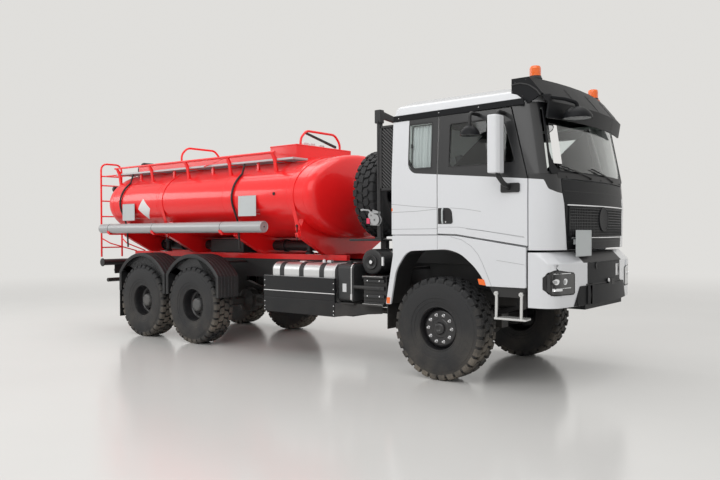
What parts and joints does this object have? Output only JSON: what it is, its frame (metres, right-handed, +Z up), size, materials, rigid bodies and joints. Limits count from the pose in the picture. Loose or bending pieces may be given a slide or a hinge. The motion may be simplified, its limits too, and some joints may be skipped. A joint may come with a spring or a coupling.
{
  "type": "tanker truck",
  "caption": "Off-road tanker truck with a cab, an elliptic tank on a ladder frame, driven wheels, and a tilting cab with opening doors and front flap.",
  "frame": {"origin": "on the ground under the middle of the truck's bounding box", "axes": "+X forward, +Y to the truck's left, +Z up"},
  "size_m": [9.6474, 3.06, 3.72],
  "materials": {
    "red_paint": "semi-gloss",
    "white_paint": "gloss",
    "black_paint": "satin",
    "rim_paint": "satin",
    "dark_grey_paint": "satin",
    "light_grey_paint": "satin",
    "charcoal_plastic": "satin",
    "cast_grey": "rough",
    "aluminium_sheet": "brushed",
    "hose_rubber": "matte",
    "tinted_glass": "clear",
    "orange_lens": "gloss",
    "clear_lens": "gloss",
    "seat_cloth": "woven",
    "tyre_rubber": "matte"
  },
  "bodies": {
    "chassis": {"frame": "black_paint", "axles": "black_paint", "leaf_springs": "black_paint", "powertrain": "cast_grey", "subframe": "red_paint", "tank": "red_paint", "drain_hoses": "hose_rubber", "coaming": "red_paint", "walkway": "red_paint", "ladder_and_rails": "red_paint", "hose_lockers": "light_grey_paint", "mudguards": "charcoal_plastic", "fuel_tank": "aluminium_sheet", "side_guards": "dark_grey_paint", "urea_tank": "charcoal_plastic", "battery_box": "black_paint", "air_drum": "black_paint", "spare_wheel": "tyre_rubber", "wheel_davit": "black_paint", "front_bumper": "white_paint", "bumper_centre": "charcoal_plastic", "lamps": "clear_lens", "rear_bumper": "black_paint", "front_fenders": "white_paint", "cab_steps": "aluminium_sheet"},
    "cab": {"cab_shell": "white_paint", "cab_roof": "white_paint", "cab_front": "white_paint", "cab_glass": "tinted_glass", "sun_visor": "charcoal_plastic", "beacons": "orange_lens", "front_mirror": "charcoal_plastic", "dashboard": "charcoal_plastic", "seats": "seat_cloth", "air_intake": "charcoal_plastic"},
    "door_right": {"door_right": "white_paint", "door_glass_right": "tinted_glass", "mirror_right": "white_paint", "kerb_mirror": "charcoal_plastic"},
    "door_left": {"door_left": "white_paint", "door_glass_left": "tinted_glass", "mirror_left": "white_paint"},
    "front_flap": {"grille_flap": "white_paint"},
    "knuckle_left": {"knuckle_left": "black_paint"},
    "knuckle_right": {"knuckle_right": "black_paint"},
    "tie_rod": {"tie_rod": "black_paint"},
    "lid_front": {"manhole_lid_front": "red_paint"},
    "lid_rear": {"manhole_lid_rear": "red_paint"},
    "wheel_front_left": {"tyre_front_left": "tyre_rubber", "rim_front_left": "rim_paint"},
    "wheel_front_right": {"tyre_front_right": "tyre_rubber", "rim_front_right": "rim_paint"},
    "wheel_middle_left": {"tyre_middle_left": "tyre_rubber", "rim_middle_left": "rim_paint"},
    "wheel_middle_right": {"tyre_middle_right": "tyre_rubber", "rim_middle_right": "rim_paint"},
    "wheel_rear_left": {"tyre_rear_left": "tyre_rubber", "rim_rear_left": "rim_paint"},
    "wheel_rear_right": {"tyre_rear_right": "tyre_rubber", "rim_rear_right": "rim_paint"}
  },
  "joints": [
    {"name": "cab_tilt", "type": "hinge", "parent": "chassis", "child": "cab", "pos_m": [4.455, 0, 1.2], "axis": [0, 1, 0], "range_deg": [0, 50]},
    {"name": "door_right_hinge", "type": "hinge", "parent": "cab", "child": "door_right", "pos_m": [4.24, -1.245, 2], "axis": [0, 0, 1], "range_deg": [0, 70]},
    {"name": "door_left_hinge", "type": "hinge", "parent": "cab", "child": "door_left", "pos_m": [4.24, 1.245, 2], "axis": [0, 0, -1], "range_deg": [0, 70]},
    {"name": "flap_hinge", "type": "hinge", "parent": "cab", "child": "front_flap", "pos_m": [4.615, 0, 2.4], "axis": [0, -1, 0], "range_deg": [0, 65]},
    {"name": "steer_left", "type": "hinge", "parent": "chassis", "child": "knuckle_left", "pos_m": [3.055, 0.87, 0.629], "axis": [0, 0, 1], "range_deg": [-32, 32]},
    {"name": "steer_right", "type": "hinge", "parent": "chassis", "child": "knuckle_right", "pos_m": [3.055, -0.87, 0.629], "axis": [0, 0, 1], "range_deg": [-32, 32]},
    {"name": "tie_rod_joint", "type": "hinge", "parent": "knuckle_left", "child": "tie_rod", "pos_m": [2.815, 0.84, 0.47], "axis": [0, 0, 1], "range_deg": [-32, 32]},
    {"name": "lid_front_hinge", "type": "hinge", "parent": "chassis", "child": "lid_front", "pos_m": [-1.545, 0, 3.0703], "axis": [0, -1, 0], "range_deg": [0, 100]},
    {"name": "lid_rear_hinge", "type": "hinge", "parent": "chassis", "child": "lid_rear", "pos_m": [-3.745, 0, 3.0703], "axis": [0, -1, 0], "range_deg": [0, 100]},
    {"name": "spin_front_left", "type": "hinge", "parent": "knuckle_left", "child": "wheel_front_left", "pos_m": [3.055, 1.0875, 0.629], "axis": [0, 1, 0], "continuous": true},
    {"name": "spin_front_right", "type": "hinge", "parent": "knuckle_right", "child": "wheel_front_right", "pos_m": [3.055, -1.0875, 0.629], "axis": [0, 1, 0], "continuous": true},
    {"name": "spin_middle_left", "type": "hinge", "parent": "chassis", "child": "wheel_middle_left", "pos_m": [-1.695, 1.0875, 0.629], "axis": [0, 1, 0], "continuous": true},
    {"name": "spin_middle_right", "type": "hinge", "parent": "chassis", "child": "wheel_middle_right", "pos_m": [-1.695, -1.0875, 0.629], "axis": [0, 1, 0], "continuous": true},
    {"name": "spin_rear_left", "type": "hinge", "parent": "chassis", "child": "wheel_rear_left", "pos_m": [-3.095, 1.0875, 0.629], "axis": [0, 1, 0], "continuous": true},
    {"name": "spin_rear_right", "type": "hinge", "parent": "chassis", "child": "wheel_rear_right", "pos_m": [-3.095, -1.0875, 0.629], "axis": [0, 1, 0], "continuous": true}
  ],
  "couplings": [
    {"joint": "steer_right", "follows": "steer_left", "ratio": 1},
    {"joint": "tie_rod_joint", "follows": "steer_left", "ratio": -1}
  ]
}
